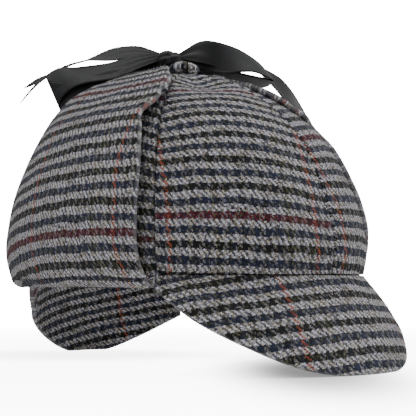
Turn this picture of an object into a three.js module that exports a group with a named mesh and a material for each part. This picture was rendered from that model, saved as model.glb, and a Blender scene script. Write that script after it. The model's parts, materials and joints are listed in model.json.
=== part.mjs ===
// A tweed deerstalker hat: a crown of six gores under a covered button, a peak in front and one
// behind, two ear flaps folded up over the crown, and their ribbons tied in a bow on top.
// Millimetres, +Z up. The front faces -Y, the wearer's left is +X, and the hat stands at Z = 0
// on the lower edges of its two peaks. A turn is an angle about the crown's axis in degrees,
// 0 at the front and growing towards the wearer's left.
import * as THREE from "three";

// Crown
const crownHalfWidth = 83;
const crownHalfLength = 105;
const crownHeight = 113.5;
const rimHeight = 47;
const crownWall = 2.4;
const goreCount = 6;
const seamDip = 1.3;
const leanSide = -3;
const leanBack = 3;

// Fit between pieces
const seamGap = 0.3;

// Peaks
const frontPeakReach = 28;
const frontPeakHalfSpan = 59.5;
const backPeakReach = 10;
const backPeakHalfSpan = 45;
const backPeakSkew = 7;
const peakWall = 3;
const peakBow = 2;
const peakTaper = 0.33;

// Ear flaps
const flapCentreTurn = 97;
const flapHalfWidth = 62;
const flapWall = 3;
const flapFoldRadius = 3.2;
const flapTipStand = 1.2;
const flapTipReach = 16.5;

// Button
const buttonRadius = 8.8;
const buttonHeight = 6.8;
const buttonEdgeHeight = 0.18;
const buttonRoundness = 0.6;

// Ribbon bow
const ribbonWidth = 22;
const ribbonWall = 1;
const knotLength = 8;
const knotHeight = 7.5;
const knotLift = 6.5;
const knotSide = 2;
const knotBack = 14.5;
const tieWidth = 3.4;
const tieWall = 1.5;
const bowTurn = 49;
const frontLoopLength = 46;
const backLoopLength = 58;
const frontTailLength = 73;
const backTailLength = 80;

// Crown outline from the rim to the apex: reach is a share of the half width and half length,
// height a share of the crown height.
const crownProfile = [
  { reach: 0.99, height: 0 },
  { reach: 1.02, height: 0.1 },
  { reach: 1.015, height: 0.2 },
  { reach: 0.985, height: 0.33 },
  { reach: 0.92, height: 0.48 },
  { reach: 0.84, height: 0.61 },
  { reach: 0.755, height: 0.7 },
  { reach: 0.635, height: 0.79 },
  { reach: 0.485, height: 0.88 },
  { reach: 0.35, height: 0.94 },
  { reach: 0.18, height: 0.98 },
  { reach: 0, height: 1 },
];

// Dents pushed into the crown: turn in degrees, along as a share of the way from rim to apex,
// spread in the same two measures, depth as a share of the crown wall.
const crownDents = [
  { turn: -36, along: 0.86, turnSpread: 22, alongSpread: 0.07, depth: 1.3 },
  { turn: -14, along: 0.3, turnSpread: 16, alongSpread: 0.2, depth: 0.4 },
  { turn: 150, along: 0.6, turnSpread: 20, alongSpread: 0.16, depth: 0.9 },
];

// Lower edges of the peaks, from the middle of the edge to its end: turn is a share of the half
// span, drop a share of the rim height, reach a share of the peak's reach.
const frontPeakEdge = [
  { turn: 0, drop: 1, reach: 1 },
  { turn: 0.17, drop: 1, reach: 0.95 },
  { turn: 0.34, drop: 0.93, reach: 0.87 },
  { turn: 0.5, drop: 0.79, reach: 0.79 },
  { turn: 0.75, drop: 0.5, reach: 0.7 },
  { turn: 0.92, drop: 0.25, reach: 0.42 },
  { turn: 1, drop: 0.14, reach: 0.2 },
];
const backPeakEdge = [
  { turn: 0, drop: 1, reach: 1 },
  { turn: 0.19, drop: 1, reach: 0.9 },
  { turn: 0.46, drop: 0.84, reach: 0.7 },
  { turn: 0.82, drop: 0.56, reach: 0.45 },
  { turn: 1, drop: 0.45, reach: 0.3 },
];

// Ear flap outline from the fold to the tip: along is a share of the way, width a share of the
// half width, stand how far the flap is puffed off the crown as a share of the fold's opening.
const flapOutline = [
  { along: 0, width: 1, stand: 1 },
  { along: 0.27, width: 0.95, stand: 0.8 },
  { along: 0.46, width: 0.8, stand: 0.62 },
  { along: 0.58, width: 0.6, stand: 0.52 },
  { along: 0.66, width: 0.47, stand: 0.45 },
  { along: 0.7, width: 0.49, stand: 0.4 },
  { along: 0.835, width: 0.34, stand: 0.2 },
  { along: 0.95, width: 0.14, stand: 0.05 },
  { along: 1, width: 0.05, stand: 0 },
];

// Ribbons, from the knot outwards: out is a share of the ribbon's length along the bow, counted
// from the knot's end and below 0 beside the knot, aside a share of the ribbon width to the far
// side, up its height over the bow's seat in ribbon widths, lean the tilt of the band in degrees,
// wide its gathered width as a share of the full width.
const frontLoopRows = [
  { out: 0, aside: 0, up: 0.32, lean: 40, wide: 0.6 },
  { out: 0.23, aside: -0.05, up: 0.56, lean: 46, wide: 0.95 },
  { out: 0.53, aside: -0.05, up: 0.48, lean: 46, wide: 1 },
  { out: 0.79, aside: 0, up: 0.22, lean: 40, wide: 1 },
  { out: 0.97, aside: 0.1, up: -0.14, lean: 22, wide: 1 },
  { out: 1, aside: 0.2, up: -0.42, lean: 0, wide: 1 },
  { out: 0.81, aside: 0.4, up: -0.42, lean: -12, wide: 1 },
  { out: 0.47, aside: 0.35, up: -0.02, lean: -8, wide: 0.9 },
  { out: 0.03, aside: 0.08, up: 0.16, lean: 0, wide: 0.5 },
];
const backLoopRows = [
  { out: 0, aside: 0, up: 0.32, lean: 30, wide: 0.5 },
  { out: 0.26, aside: 0.1, up: 0.28, lean: 32, wide: 0.8 },
  { out: 0.56, aside: 0.12, up: 0.1, lean: 38, wide: 1 },
  { out: 0.86, aside: 0.1, up: -0.17, lean: 50, wide: 1 },
  { out: 1, aside: -0.05, up: -0.5, lean: 58, wide: 1 },
  { out: 0.91, aside: -0.32, up: -0.66, lean: 55, wide: 1 },
  { out: 0.63, aside: -0.45, up: -0.36, lean: 48, wide: 1 },
  { out: 0.31, aside: -0.25, up: 0.02, lean: 35, wide: 0.8 },
  { out: 0.02, aside: -0.1, up: 0.12, lean: 25, wide: 0.5 },
];
const frontTailRows = [
  { out: -0.08, aside: 0.62, up: 0.25, lean: 10, wide: 0.5 },
  { out: 0.2, aside: 1, up: 0.42, lean: 14, wide: 0.85 },
  { out: 0.46, aside: 1.2, up: 0.36, lean: 18, wide: 1 },
  { out: 0.71, aside: 0.85, up: 0.16, lean: 24, wide: 1 },
  { out: 0.87, aside: 0.5, up: -0.45, lean: 30, wide: 1 },
  { out: 1, aside: 0.35, up: -1.4, lean: 32, wide: 1 },
];
const backTailRows = [
  { out: -0.07, aside: 0.605, up: 0.4, lean: 14, wide: 0.5 },
  { out: 0.18, aside: 0.95, up: 0.68, lean: 24, wide: 0.85 },
  { out: 0.45, aside: 1.08, up: 0.58, lean: 28, wide: 1 },
  { out: 0.72, aside: 0.95, up: 0.08, lean: 26, wide: 1 },
  { out: 1, aside: 0.75, up: -0.75, lean: 20, wide: 1 },
];
const tailNotch = 0.16;

// Mesh steps
const goreSteps = { across: 8, along: 15 };
const flapSteps = { across: 12, along: 18, fold: 5 };
const peakSteps = { across: 28, along: 6 };
const ribbonSteps = { across: 2, along: 20 };
const roundSides = 20;
const domeSteps = 6;
const searchSteps = 30;
const coverSteps = 6;

// Share of the way up the crown beyond which its top counts as flat.
const flatTopAlong = 0.97;

const degrees = Math.PI / 180;
const crownCentreBack = (frontPeakReach - backPeakReach) / 2;
const profileCurve = new THREE.SplineCurve(
  crownProfile.map((row) => new THREE.Vector2(row.reach, row.height)),
);

// Materials: colour, roughness and metalness of the real finishes.
const tweed = new THREE.MeshStandardMaterial({ color: 0x6f7178, roughness: 0.95, metalness: 0 });
const peakTweed = new THREE.MeshStandardMaterial({ color: 0x666970, roughness: 0.95, metalness: 0 });
const ribbonBlack = new THREE.MeshStandardMaterial({ color: 0x17181b, roughness: 0.55, metalness: 0 });

// A value read from a table at x, on a smooth curve through the rows.
function readTable(rows, key, column, x) {
  const last = rows.length - 1;
  if (x <= rows[0][key]) return rows[0][column];
  if (x >= rows[last][key]) return rows[last][column];
  const i = rows.findIndex((row) => row[key] > x) - 1;
  const from = rows[i];
  const to = rows[i + 1];
  const before = rows[Math.max(i - 1, 0)];
  const after = rows[Math.min(i + 2, last)];
  const span = to[key] - from[key];
  const t = (x - from[key]) / span;
  const slopeIn = ((to[column] - before[column]) / (to[key] - before[key])) * span;
  const slopeOut = ((after[column] - from[column]) / (after[key] - from[key])) * span;
  const t2 = t * t;
  const t3 = t2 * t;
  return (
    (2 * t3 - 3 * t2 + 1) * from[column] +
    (t3 - 2 * t2 + t) * slopeIn +
    (3 * t2 - 2 * t3) * to[column] +
    (t3 - t2) * slopeOut
  );
}

// A point of the crown's smooth outer form before seams, dents and walls.
function crownForm(turn, along) {
  const share = profileCurve.getPointAt(THREE.MathUtils.clamp(along, 0, 1));
  const angle = turn * degrees;
  return new THREE.Vector3(
    crownHalfWidth * share.x * Math.sin(angle) + leanSide * share.y,
    crownCentreBack - crownHalfLength * share.x * Math.cos(angle) + leanBack * share.y,
    rimHeight + crownHeight * share.y,
  );
}

// The outward direction of that form, read a short step to either side.
function crownNormal(turn, along) {
  const step = 0.004;
  const low = THREE.MathUtils.clamp(along - step, 0, flatTopAlong);
  const up = crownForm(turn, low + 2 * step).sub(crownForm(turn, low));
  const round = crownForm(turn + 1, low + step).sub(crownForm(turn - 1, low + step));
  return round.cross(up).normalize();
}

// How far the cloth lies inside the smooth form: the dip at each seam and the dents.
function crownDip(turn, along) {
  const seamTurn = 360 / goreCount;
  const across = (((turn / seamTurn) % 1) + 1) % 1;
  const reach = profileCurve.getPointAt(THREE.MathUtils.clamp(along, 0, 1)).x;
  let dip = seamDip * (1 - Math.sin(Math.PI * across)) * reach;
  for (const dent of crownDents) {
    const aside = (((turn - dent.turn + 540) % 360) - 180) / dent.turnSpread;
    const over = (along - dent.along) / dent.alongSpread;
    dip += dent.depth * crownWall * Math.exp(-aside * aside - over * over);
  }
  return dip;
}

// A point at a distance outside the crown's cloth.
function crownPoint(turn, along, offset) {
  const lift = offset - crownDip(turn, along);
  return crownForm(turn, along).addScaledVector(crownNormal(turn, along), lift);
}

// The same without the seams and dents, for the flaps that bridge them.
function bridgePoint(turn, along, offset) {
  return crownForm(turn, along).addScaledVector(crownNormal(turn, along), offset);
}

// The place along the profile where the crown has shrunk to a reach.
function alongAtReach(reach) {
  let low = 0.3;
  let high = 1;
  for (let i = 0; i < searchSteps; i++) {
    const middle = (low + high) / 2;
    if (profileCurve.getPointAt(middle).x > reach) low = middle;
    else high = middle;
  }
  return low;
}

// A closed solid from corner points and triangles, turned so that its faces point out.
function solidMesh(name, points, triangles, material) {
  let volume = 0;
  for (const [a, b, c] of triangles) {
    volume += points[a].dot(points[b].clone().cross(points[c]));
  }
  const facing = volume < 0 ? triangles.map(([a, b, c]) => [a, c, b]) : triangles;
  const geometry = new THREE.BufferGeometry().setFromPoints(points);
  geometry.setIndex(facing.flat());
  geometry.computeVertexNormals();
  const mesh = new THREE.Mesh(geometry, material);
  mesh.name = name;
  return mesh;
}

// A cloth wall between two grids of points, closed along its four edges.
function clothWall(name, outer, inner, material) {
  const rows = outer.length;
  const columns = outer[0].length;
  const points = [...outer.flat(), ...inner.flat()];
  const triangles = [];
  const at = (side, row, column) => side * rows * columns + row * columns + column;
  const quad = (a, b, c, d) => triangles.push([a, b, c], [a, c, d]);
  for (let i = 0; i < rows - 1; i++) {
    for (let j = 0; j < columns - 1; j++) {
      quad(at(0, i, j), at(0, i, j + 1), at(0, i + 1, j + 1), at(0, i + 1, j));
      quad(at(1, i, j), at(1, i + 1, j), at(1, i + 1, j + 1), at(1, i, j + 1));
    }
  }
  for (let i = 0; i < rows - 1; i++) {
    quad(at(0, i, 0), at(0, i + 1, 0), at(1, i + 1, 0), at(1, i, 0));
    const end = columns - 1;
    quad(at(0, i, end), at(1, i, end), at(1, i + 1, end), at(0, i + 1, end));
  }
  for (let j = 0; j < columns - 1; j++) {
    quad(at(0, 0, j), at(1, 0, j), at(1, 0, j + 1), at(0, 0, j + 1));
    const end = rows - 1;
    quad(at(0, end, j), at(0, end, j + 1), at(1, end, j + 1), at(1, end, j));
  }
  return solidMesh(name, points, triangles, material);
}

// One gore of the crown, from the rim to the small round under the button where the gores meet.
function crownGore(name, fromTurn, toTurn) {
  const roundRadius = buttonRadius / 2;
  const topAlong = alongAtReach(roundRadius / crownHalfWidth);
  const outer = [];
  const inner = [];
  for (let i = 0; i <= goreSteps.along; i++) {
    const along = (topAlong * i) / goreSteps.along;
    const radius = profileCurve.getPointAt(along).x * crownHalfWidth;
    const inset = seamGap / 2 / (radius - crownWall) / degrees;
    const outerRow = [];
    const innerRow = [];
    for (let j = 0; j <= goreSteps.across; j++) {
      const turn = THREE.MathUtils.lerp(fromTurn + inset, toTurn - inset, j / goreSteps.across);
      outerRow.push(crownPoint(turn, along, 0));
      innerRow.push(crownPoint(turn, along, -crownWall));
    }
    outer.push(outerRow);
    inner.push(innerRow);
  }
  return clothWall(name, outer, inner, tweed);
}

// A peak hanging from the rim, from its seam just under the crown's edge to its lower edge.
// It rests where its edge reaches Z = 0, on a cut that is level all the way round.
function peak(name, middleTurn, halfSpan, reach, rows, skew) {
  const seamHeight = rimHeight - seamGap;
  const outer = [];
  const inner = [];
  for (let i = 0; i <= peakSteps.along; i++) {
    const down = i / peakSteps.along;
    const outerRow = [];
    const innerRow = [];
    for (let j = 0; j <= peakSteps.across; j++) {
      const aside = THREE.MathUtils.lerp(-halfSpan, halfSpan, j / peakSteps.across);
      const turn = middleTurn + aside;
      const share = Math.abs(aside - skew) / halfSpan;
      const seam = crownPoint(turn, 0, 0).setZ(seamHeight);
      const outward = crownNormal(turn, 0).setZ(0).normalize();
      const overhang = reach * readTable(rows, "turn", "reach", share);
      const edge = seam.clone().addScaledVector(outward, overhang);
      edge.z = rimHeight * Math.max(1 - readTable(rows, "turn", "drop", share), 0);
      const slope = edge.clone().sub(seam);
      const bulge = peakBow * Math.sin(Math.PI * down) * Math.min(slope.length() / rimHeight, 1);
      const faceUp = outward.clone().multiplyScalar(-slope.z).setZ(slope.dot(outward)).normalize();
      const skin = seam.clone().addScaledVector(slope, down).addScaledVector(faceUp, bulge);
      const wall = THREE.MathUtils.lerp(crownWall, peakWall, Math.min(down / peakTaper, 1));
      outerRow.push(skin);
      innerRow.push(skin.clone().addScaledVector(outward, -wall));
    }
    outer.push(outerRow);
    inner.push(innerRow);
  }
  return clothWall(name, outer, inner, peakTweed);
}

// An ear flap: sewn under the rim, folded outwards round a soft fold, and laid up over the crown
// to its tip. side is 1 for the wearer's left and -1 for the right.
function earFlap(name, side) {
  const tipAlong = alongAtReach(flapTipReach / crownHalfWidth);
  const foldHeight = rimHeight - seamGap;
  const outer = [];
  const inner = [];
  const turnsAt = (share) => {
    const along = tipAlong * share;
    const reach = profileCurve.getPointAt(along).x;
    const width = flapHalfWidth * readTable(flapOutline, "along", "width", share);
    return Array.from({ length: flapSteps.across + 1 }, (_, j) => {
      const aside = (width * (2 * j - flapSteps.across)) / flapSteps.across;
      return side * (flapCentreTurn + Math.asin(aside / (crownHalfLength * reach)) / degrees);
    });
  };
  const baseTurns = turnsAt(0);
  for (let i = 0; i <= flapSteps.fold; i++) {
    const angle = (Math.PI * i) / flapSteps.fold;
    const place = (turn, radius) => {
      const rim = bridgePoint(turn, 0, 0);
      const outward = crownNormal(turn, 0).setZ(0).normalize();
      rim.addScaledVector(outward, flapFoldRadius - radius * Math.cos(angle));
      return rim.setZ(foldHeight - radius * Math.sin(angle));
    };
    outer.push(baseTurns.map((turn) => place(turn, flapFoldRadius + flapWall)));
    inner.push(baseTurns.map((turn) => place(turn, flapFoldRadius)));
  }
  for (let i = 1; i <= flapSteps.along; i++) {
    const share = i / flapSteps.along;
    const opening = 2 * flapFoldRadius - flapTipStand;
    const stand = flapTipStand + opening * readTable(flapOutline, "along", "stand", share);
    const turns = turnsAt(share);
    outer.push(turns.map((turn) => bridgePoint(turn, tipAlong * share, stand + flapWall)));
    inner.push(turns.map((turn) => bridgePoint(turn, tipAlong * share, stand)));
  }
  return clothWall(name, outer, inner, tweed);
}

// The covered button, domed over the round where the gores meet.
function topButton() {
  const apex = crownForm(0, 1);
  const underHeight = (radius) => {
    const along = alongAtReach(radius / crownHalfLength);
    return crownForm(0, along).z - apex.z + seamGap;
  };
  const underShares = [0, 0.55, 0.92];
  const outline = underShares.map((share) => {
    const radius = buttonRadius * share;
    return new THREE.Vector2(radius, underHeight(Math.max(radius, seamGap)));
  });
  for (let i = 0; i <= domeSteps; i++) {
    const angle = (Math.PI / 2) * (i / domeSteps);
    const radius = i === domeSteps ? 0 : buttonRadius * Math.cos(angle) ** buttonRoundness;
    const share = THREE.MathUtils.lerp(buttonEdgeHeight, 1, Math.sin(angle));
    outline.push(new THREE.Vector2(radius, buttonHeight * share));
  }
  const mesh = new THREE.Mesh(new THREE.LatheGeometry(outline, roundSides), tweed);
  mesh.name = "top_button";
  mesh.rotation.x = Math.PI / 2;
  mesh.position.copy(apex);
  return mesh;
}

// The bow sits at the height of the flap tips' upper side.
const apexPoint = crownForm(0, 1);
const seatHeight = apexPoint.z + flapTipStand + flapWall;
const knotCentre = new THREE.Vector3(
  apexPoint.x + knotSide,
  apexPoint.y + knotBack,
  seatHeight + knotLift,
);

// Height of the surface that a ribbon may touch: the crown with a flap's thickness on it.
function coverHeight(x, y) {
  const steepest = 0.35;
  let lean = 1;
  let height = 0;
  for (let i = 0; i < coverSteps; i++) {
    const across = (x - leanSide * lean) / crownHalfWidth;
    const back = (y - crownCentreBack - leanBack * lean) / crownHalfLength;
    const along = alongAtReach(Math.min(Math.hypot(across, back), crownProfile[0].reach));
    lean = profileCurve.getPointAt(along).y;
    const turn = Math.atan2(across, -back) / degrees;
    const normal = crownNormal(turn, along);
    const puff = flapTipStand + 2 * flapFoldRadius * readTable(flapOutline, "along", "stand", along);
    height = rimHeight + crownHeight * lean + (puff + flapWall) / Math.max(normal.z, steepest);
  }
  return height;
}

// A strip of ribbon through its table's rows. heading is the turn that it runs towards, notch
// the depth of its swallow-tail as a share of its length.
function ribbon(name, rows, length, heading, notch) {
  const angle = heading * degrees;
  const ahead = new THREE.Vector3(Math.sin(angle), -Math.cos(angle), 0);
  const bowAngle = bowTurn * degrees;
  const farSide = new THREE.Vector3(Math.cos(bowAngle), Math.sin(bowAngle), 0);
  const places = rows.map((row) =>
    knotCentre
      .clone()
      .addScaledVector(ahead, knotLength + seamGap + row.out * length)
      .addScaledVector(farSide, row.aside * ribbonWidth)
      .setZ(seatHeight + row.up * ribbonWidth),
  );
  const middle = new THREE.CatmullRomCurve3(places, false, "centripetal");
  const shape = new THREE.CatmullRomCurve3(
    rows.map((row) => new THREE.Vector3(row.lean, row.wide, 0)),
  );
  const front = [];
  const back = [];
  for (let i = 0; i <= ribbonSteps.along; i++) {
    const frontRow = [];
    const backRow = [];
    for (let j = 0; j <= ribbonSteps.across; j++) {
      const across = j / ribbonSteps.across - 0.5;
      const end = 1 - notch * (1 - 2 * Math.abs(across));
      const t = (end * i) / ribbonSteps.along;
      const form = shape.getPoint(t);
      const lean = form.x * degrees;
      const widthway = farSide.clone().multiplyScalar(Math.cos(lean)).setZ(Math.sin(lean));
      const skin = middle.getPoint(t).addScaledVector(widthway, across * form.y * ribbonWidth);
      const face = middle.getTangent(t).cross(widthway).normalize();
      const lowest = coverHeight(skin.x, skin.y) + seamGap + ribbonWall / 2;
      skin.z = Math.max(skin.z, lowest);
      frontRow.push(skin.clone().addScaledVector(face, ribbonWall / 2));
      backRow.push(skin.addScaledVector(face, -ribbonWall / 2));
    }
    front.push(frontRow);
    back.push(backRow);
  }
  return clothWall(name, front, back, ribbonBlack);
}

// The knot: a rounded lump of ribbon.
function bowKnot() {
  const geometry = new THREE.SphereGeometry(1, roundSides, roundSides / 2);
  geometry.rotateX(Math.PI / 2);
  geometry.scale(knotLength, knotLength, knotHeight);
  const mesh = new THREE.Mesh(geometry, ribbonBlack);
  mesh.name = "bow_knot";
  mesh.position.copy(knotCentre);
  return mesh;
}

// The gathered end of ribbon from a flap's tip to the knot, under the loops.
function flapTie(name, side) {
  const tipAlong = alongAtReach(flapTipReach / crownHalfWidth);
  const turn = side * flapCentreTurn;
  const slope = crownForm(turn, 1).sub(crownForm(turn, tipAlong)).normalize();
  const clear = seamGap + tieWidth / 2;
  const start = bridgePoint(turn, tipAlong, flapTipStand + flapWall / 2).addScaledVector(slope, clear);
  const toKnot = knotCentre.clone().sub(start).setZ(0).normalize();
  const drop = knotLift - tieWall / 2;
  const knotRadius = knotLength * Math.sqrt(1 - (drop / knotHeight) ** 2);
  const end = knotCentre.clone().addScaledVector(toKnot, -(knotRadius + 2 * seamGap));
  end.z = knotCentre.z - drop;
  const along = end.clone().sub(start);
  const geometry = new THREE.BoxGeometry(along.length(), tieWidth, tieWall);
  const mesh = new THREE.Mesh(geometry, ribbonBlack);
  mesh.name = name;
  const forward = along.clone().normalize();
  const sideways = new THREE.Vector3(0, 0, 1).cross(forward).normalize();
  const upward = forward.clone().cross(sideways);
  mesh.quaternion.setFromRotationMatrix(new THREE.Matrix4().makeBasis(forward, sideways, upward));
  mesh.position.copy(start).addScaledVector(along, 0.5);
  return mesh;
}

const hat = new THREE.Group();
const crown = new THREE.Group();
const goreTurn = 360 / goreCount;
const gorePlaces = ["front_left", "side_left", "back_left", "back_right", "side_right", "front_right"];
gorePlaces.forEach((place, i) => {
  crown.add(crownGore("crown_gore_" + place, i * goreTurn, (i + 1) * goreTurn));
});
crown.add(topButton());
const peaks = new THREE.Group();
peaks.add(peak("front_peak", 0, frontPeakHalfSpan, frontPeakReach, frontPeakEdge, 0));
peaks.add(peak("back_peak", 180, backPeakHalfSpan, backPeakReach, backPeakEdge, -backPeakSkew));
const flaps = new THREE.Group();
flaps.add(earFlap("ear_flap_left", 1), earFlap("ear_flap_right", -1));
const bow = new THREE.Group();
bow.add(bowKnot());
bow.add(flapTie("flap_tie_left", 1), flapTie("flap_tie_right", -1));
bow.add(ribbon("bow_loop_front", frontLoopRows, frontLoopLength, bowTurn, 0));
bow.add(ribbon("bow_loop_back", backLoopRows, backLoopLength, bowTurn - 180, 0));
bow.add(ribbon("bow_tail_front", frontTailRows, frontTailLength, bowTurn, tailNotch));
bow.add(ribbon("bow_tail_back", backTailRows, backTailLength, bowTurn - 180, tailNotch));
hat.add(crown, peaks, flaps, bow);

// The origin is at the middle of the hat's outline on the surface that it stands on.
const outline = new THREE.Box3().setFromObject(hat);
const middle = outline.getCenter(new THREE.Vector3());
hat.position.set(-middle.x, -middle.y, 0);

export default hat;
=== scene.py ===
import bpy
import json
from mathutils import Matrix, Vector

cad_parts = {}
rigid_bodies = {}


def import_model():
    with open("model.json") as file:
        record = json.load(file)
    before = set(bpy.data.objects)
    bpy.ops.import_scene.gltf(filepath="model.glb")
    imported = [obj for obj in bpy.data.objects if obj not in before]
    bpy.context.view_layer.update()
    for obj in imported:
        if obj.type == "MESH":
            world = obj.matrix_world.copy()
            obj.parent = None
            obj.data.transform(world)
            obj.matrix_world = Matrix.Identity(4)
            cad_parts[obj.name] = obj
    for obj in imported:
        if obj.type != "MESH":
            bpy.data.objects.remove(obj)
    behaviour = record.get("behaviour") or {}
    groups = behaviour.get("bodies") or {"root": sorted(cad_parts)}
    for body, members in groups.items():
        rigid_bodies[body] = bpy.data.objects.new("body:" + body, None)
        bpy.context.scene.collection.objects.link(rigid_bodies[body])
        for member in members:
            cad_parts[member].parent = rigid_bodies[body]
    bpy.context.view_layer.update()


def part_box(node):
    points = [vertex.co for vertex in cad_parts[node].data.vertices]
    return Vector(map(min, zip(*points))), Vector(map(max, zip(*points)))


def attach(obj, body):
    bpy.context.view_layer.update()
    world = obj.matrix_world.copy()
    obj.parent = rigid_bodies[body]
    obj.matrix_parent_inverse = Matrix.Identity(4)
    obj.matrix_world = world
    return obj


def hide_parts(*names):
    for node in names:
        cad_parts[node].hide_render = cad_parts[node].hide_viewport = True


bl_info = {
    "name": "Deerstalker hat",
    "version": (1, 0, 0),
    "blender": (4, 5, 0),
    "location": "3D View > Sidebar > Hat",
    "description": "Dresses the packed deerstalker hat in woven tweed and black ribbon.",
    "category": "Add Mesh",
}

import json
import math

import bmesh
import bpy
import numpy as np
from mathutils import Matrix, Vector, noise

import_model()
MM = 0.001

# The photograph: its width in pixels, the turn of its camera round the hat in degrees, and its
# focal length in pixels. The aim lies this many pixels left of and below the picture's middle.
PHOTO_WIDTH, CAMERA_TURN, FOCAL_PIXELS = 416, -42.5, 1108.0
AIM_LEFT, AIM_BELOW = 17, 72
# Distance and height of the camera in metres, and the width of its sensor in mm.
CAMERA_DISTANCE, CAMERA_HEIGHT, SENSOR_WIDTH = 0.621, 0.0444, 36
# Strength of the sky as the camera sees it and as it lights the hat.
SKY_SEEN, SKY_LIGHT = 20.0, 0.42
# Distance in mm that stands for cloth away from any turned edge, so that it gets no painted edge
# highlight.
FAR_FROM_EDGE = 9.0
# Loose wool: fibres on a square metre, the height in mm where they start, their bend, and how far
# they lean and turn, in radians.
FIBRE_DENSITY, FIBRE_START, FIBRE_BEND = 240000, 2.5, 420.0
FIBRE_LEAN, FIBRE_TURN = 1.1, 3.1
# Where the cloth of the front peak and of the right flap is turned over, in mm.
PEAK_TURNED_AT, FLAP_TURNED_AT = 10.89, 8.0
# The check in threads: repeat of the bands, of the wine bands and of the rust lines.
BAND_REPEAT, WINE_REPEAT, RUST_REPEAT = 16.0, 96.0, 104.0
# How the threads wander: noise scale and detail, reach across and along in metres.
THREAD_WANDER = [
    (700.0, 2.0, 0.001, 0.001), (55.0, 1.0, 0.002, 0.0024), (2100.0, 1.0, 0.0011, 0.0011),
]

# Crown outline from rim to apex, in shares of the half width or length and of the height.
CROWN_PROFILE = np.array([
    (0.99, 0), (1.02, 0.1), (1.015, 0.2), (0.985, 0.33), (0.92, 0.48), (0.84, 0.61),
    (0.755, 0.7), (0.635, 0.79), (0.485, 0.88), (0.35, 0.94), (0.18, 0.98), (0, 1),
])
# Dents: turn in degrees, place along the profile, spread of each, depth in crown walls.
CROWN_DENTS = [
    (-34, 0.77, 20, 0.12, 2.6),
    (-14, 0.3, 16, 0.2, 0.4),
    (40, 0.74, 34, 0.17, 1.5),
    (46, 0.3, 26, 0.3, 1.0),
    (150, 0.6, 20, 0.16, 0.9),
]
# Lower edges of the peaks: share of the half span, drop, reach.
FRONT_PEAK_EDGE = [
    (0, 1, 1), (0.17, 1, 0.95), (0.34, 0.93, 0.87), (0.5, 0.79, 0.79),
    (0.75, 0.5, 0.7), (0.92, 0.25, 0.42), (1, 0.14, 0.2),
]
BACK_PEAK_EDGE = [(0, 1, 1), (0.19, 1, 0.9), (0.46, 0.84, 0.7), (0.82, 0.56, 0.32), (1, 0.43, -0.1)]
# Ear flap outline, in shares: along, width, stand off the crown.
FLAP_OUTLINE = [
    (0, 1, 1), (0.27, 0.95, 0.8), (0.46, 0.8, 0.62), (0.58, 0.6, 0.52), (0.66, 0.47, 0.45),
    (0.7, 0.49, 0.4), (0.835, 0.37, 0.22), (0.93, 0.25, 0.12), (1, 0.17, 0.04),
]
# Extra width of a flap's front half: along, share of the width.
FLAP_FRONT = [
    (0, 0), (0.5, 0), (0.55, 0.07), (0.6, 0.28), (0.65, 0.4), (0.7, 0.32),
    (0.8, 0.24), (0.85, 0.16), (0.9, 0), (0.95, -0.05), (1, -0.2),
]
# Ribbons from the knot outwards: out in lengths, aside and up in widths, lean in degrees, share of
# the width.
FRONT_LOOP = [
    (-0.1, 0, 0.3, 35, 0.5), (0.05, -0.03, 0.4, 46, 0.75), (0.18, -0.05, 0.42, 58, 0.95),
    (0.365, -0.1, 0.33, 75, 1), (0.528, -0.1, 0.3, 64, 1), (0.706, -0.05, 0.28, 47, 1),
    (0.871, 0, 0.19, 34, 1), (1.013, 0.08, 0.03, 26, 1), (1.1, 0.16, -0.13, 16, 1),
    (1.115, 0.25, -0.24, 4, 1), (1.0, 0.35, -0.23, -5, 1), (0.8, 0.42, -0.16, -8, 1),
    (0.528, 0.36, -0.05, -10, 1), (0.246, 0.2, 0.06, -14, 1), (0.0, 0.06, 0.2, -14, 0.7),
]
BACK_LOOP = [
    (-0.039, 0, 0.372, 30, 0.5), (0.17, 0.08, 0.25, 32, 0.8), (0.409, 0.1, 0.03, 34, 1),
    (0.716, 0.1, -0.1, 34, 1), (0.883, 0.08, -0.189, 42, 1), (0.988, 0, -0.416, 50, 1),
    (1.012, -0.1, -0.6, 62, 1), (0.956, -0.2, -0.76, 68, 1), (0.797, -0.26, -0.8, 68, 1),
    (0.642, -0.28, -0.7, 66, 1), (0.526, -0.28, -0.58, 62, 1), (0.4, -0.26, -0.42, 58, 1),
    (0.235, -0.22, -0.24, 52, 0.95), (0.069, -0.12, -0.02, 44, 0.75), (-0.03, -0.06, 0.15, 34, 0.5),
]
FRONT_TAIL = [
    (0.021, 0.5, 0.533, 20, 0.5), (0.203, 0.9, 0.758, 24, 0.85), (0.404, 1.15, 0.733, 26, 1),
    (0.576, 1.1, 0.38, 22, 1), (0.725, 0.95, -0.02, 34, 1), (0.82, 0.8, -0.36, 46, 1),
    (0.885, 0.7, -0.68, 50, 1), (0.96, 0.64, -1.12, 54, 1), (1.035, 0.62, -1.62, 56, 1),
]
BACK_TAIL = [
    (-0.035, 0.45, 0.49, 24, 0.5), (0.128, 0.8, 0.679, 29, 0.85), (0.3, 0.95, 0.637, 31, 1),
    (0.53, 1, 0.46, 12, 1), (0.663, 1, 0.3, 11, 1), (0.794, 0.95, 0.03, 16, 1),
    (0.888, 0.9, -0.208, 26, 1), (0.981, 0.85, -0.54, 34, 1),
]


def length_property(name, metres, description):
    return bpy.props.FloatProperty(
        name=name, default=metres, min=0, unit="LENGTH", subtype="DISTANCE", description=description
    )


def colour_property(name, colour, description):
    return bpy.props.FloatVectorProperty(
        name=name, default=colour, size=3, min=0, max=1, subtype="COLOR", description=description
    )


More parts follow.
